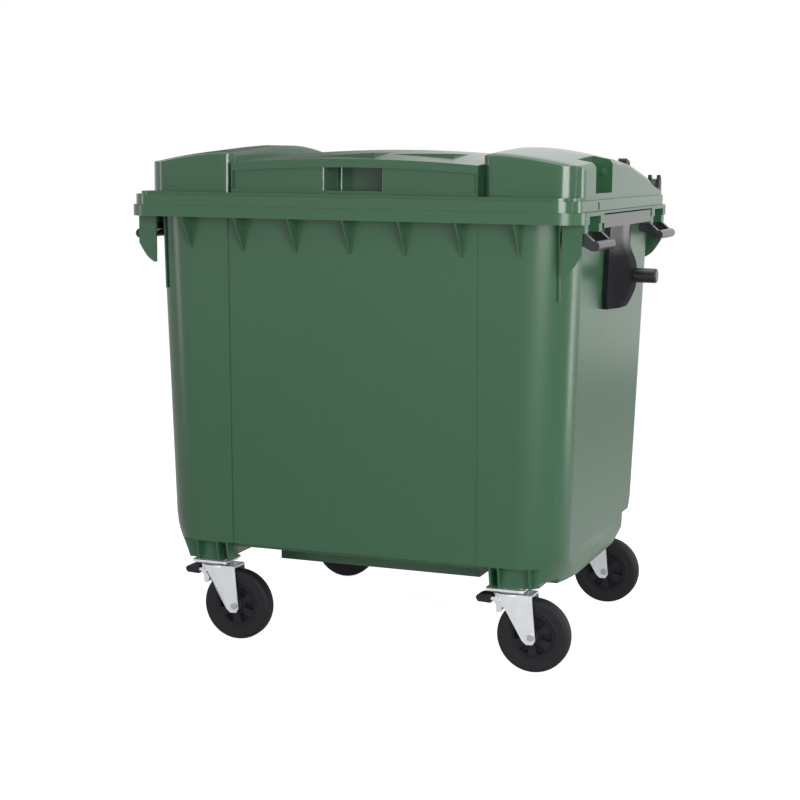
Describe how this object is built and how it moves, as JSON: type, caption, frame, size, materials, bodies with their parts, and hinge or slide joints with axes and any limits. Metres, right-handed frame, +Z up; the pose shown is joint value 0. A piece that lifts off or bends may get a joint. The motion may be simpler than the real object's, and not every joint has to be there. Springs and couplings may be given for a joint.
{
  "type": "waste container",
  "caption": "Four-wheeled waste container with a tapered tub, a flat hinged lid, lifting trunnions, hand grips and braked swivel castors.",
  "frame": {"origin": "on the ground under the middle of the plan", "axes": "+X to the right along the long side, +Y from the front to the hinged rear, +Z up"},
  "size_m": [1.436, 1.095, 1.381],
  "materials": {
    "body_green": "green moulded polyethylene, satin to glossy",
    "lid_green": "green moulded polyethylene, satin to glossy",
    "black_gloss": "black moulded plastic, glossy",
    "black_moulded": "black moulded plastic, satin",
    "tyre_rubber": "solid black rubber",
    "hub_black": "black moulded wheel centre",
    "zinc": "bright zinc-plated pressed steel",
    "steel": "zinc-plated fasteners and pins"
  },
  "bodies": {
    "container": {"castor_plate_front_left": "zinc", "castor_plate_front_right": "zinc", "castor_plate_rear_left": "zinc", "castor_plate_rear_right": "zinc", "container_body": "body_green", "hinge_bracket_left": "black_moulded", "hinge_bracket_right": "black_moulded", "hinge_pin_left": "steel", "hinge_pin_right": "steel", "plate_bolt_front_left_1": "steel", "plate_bolt_front_left_2": "steel", "plate_bolt_front_left_3": "steel", "plate_bolt_front_left_4": "steel", "plate_bolt_front_right_1": "steel", "plate_bolt_front_right_2": "steel", "plate_bolt_front_right_3": "steel", "plate_bolt_front_right_4": "steel", "plate_bolt_rear_left_1": "steel", "plate_bolt_rear_left_2": "steel", "plate_bolt_rear_left_3": "steel", "plate_bolt_rear_left_4": "steel", "plate_bolt_rear_right_1": "steel", "plate_bolt_rear_right_2": "steel", "plate_bolt_rear_right_3": "steel", "plate_bolt_rear_right_4": "steel", "side_grip_front_left": "black_gloss", "side_grip_front_right": "black_gloss", "side_grip_rear_left": "black_gloss", "side_grip_rear_right": "black_gloss", "swivel_race_front_left": "steel", "swivel_race_front_right": "steel", "swivel_race_rear_left": "steel", "swivel_race_rear_right": "steel", "trunnion_bracket_left": "black_gloss", "trunnion_bracket_right": "black_gloss", "trunnion_pin_left": "black_gloss", "trunnion_pin_right": "black_gloss"},
    "lid_assembly": {"lid": "lid_green", "lid_buffer_left": "black_moulded", "lid_buffer_right": "black_moulded"},
    "castor_front_left": {"castor_fork_front_left": "zinc", "wheel_axle_front_left": "steel"},
    "wheel_front_left": {"wheel_hub_front_left": "hub_black", "tyre_front_left": "tyre_rubber"},
    "brake_front_left": {"brake_lever_front_left": "zinc", "brake_pedal_front_left": "black_moulded"},
    "castor_front_right": {"castor_fork_front_right": "zinc", "wheel_axle_front_right": "steel"},
    "wheel_front_right": {"wheel_hub_front_right": "hub_black", "tyre_front_right": "tyre_rubber"},
    "brake_front_right": {"brake_lever_front_right": "zinc", "brake_pedal_front_right": "black_moulded"},
    "castor_rear_left": {"castor_fork_rear_left": "zinc", "wheel_axle_rear_left": "steel"},
    "wheel_rear_left": {"wheel_hub_rear_left": "hub_black", "tyre_rear_left": "tyre_rubber"},
    "castor_rear_right": {"castor_fork_rear_right": "zinc", "wheel_axle_rear_right": "steel"},
    "wheel_rear_right": {"wheel_hub_rear_right": "hub_black", "tyre_rear_right": "tyre_rubber"}
  },
  "joints": [
    {"name": "lid_hinge", "type": "hinge", "parent": "container", "child": "lid_assembly", "pos_m": [0, 0.545, 1.262], "axis": [-1, 0, 0], "range_deg": [0, 255]},
    {"name": "swivel_front_left", "type": "hinge", "parent": "container", "child": "castor_front_left", "pos_m": [-0.4315, -0.398, 0.21], "axis": [0, 0, 1], "continuous": true},
    {"name": "spin_front_left", "type": "hinge", "parent": "castor_front_left", "child": "wheel_front_left", "pos_m": [-0.3615, -0.398, 0.1], "axis": [0, 1, 0], "continuous": true},
    {"name": "brake_front_left", "type": "hinge", "parent": "castor_front_left", "child": "brake_front_left", "pos_m": [-0.4515, -0.398, 0.193], "axis": [0, -1, 0], "range_deg": [0, 13]},
    {"name": "swivel_front_right", "type": "hinge", "parent": "container", "child": "castor_front_right", "pos_m": [0.4315, -0.398, 0.21], "axis": [0, 0, 1], "continuous": true},
    {"name": "spin_front_right", "type": "hinge", "parent": "castor_front_right", "child": "wheel_front_right", "pos_m": [0.5015, -0.398, 0.1], "axis": [0, 1, 0], "continuous": true},
    {"name": "brake_front_right", "type": "hinge", "parent": "castor_front_right", "child": "brake_front_right", "pos_m": [0.4115, -0.398, 0.193], "axis": [0, -1, 0], "range_deg": [0, 13]},
    {"name": "swivel_rear_left", "type": "hinge", "parent": "container", "child": "castor_rear_left", "pos_m": [-0.4315, 0.404, 0.21], "axis": [0, 0, 1], "continuous": true},
    {"name": "spin_rear_left", "type": "hinge", "parent": "castor_rear_left", "child": "wheel_rear_left", "pos_m": [-0.3615, 0.404, 0.1], "axis": [0, 1, 0], "continuous": true},
    {"name": "swivel_rear_right", "type": "hinge", "parent": "container", "child": "castor_rear_right", "pos_m": [0.4315, 0.404, 0.21], "axis": [0, 0, 1], "continuous": true},
    {"name": "spin_rear_right", "type": "hinge", "parent": "castor_rear_right", "child": "wheel_rear_right", "pos_m": [0.5015, 0.404, 0.1], "axis": [0, 1, 0], "continuous": true}
  ]
}
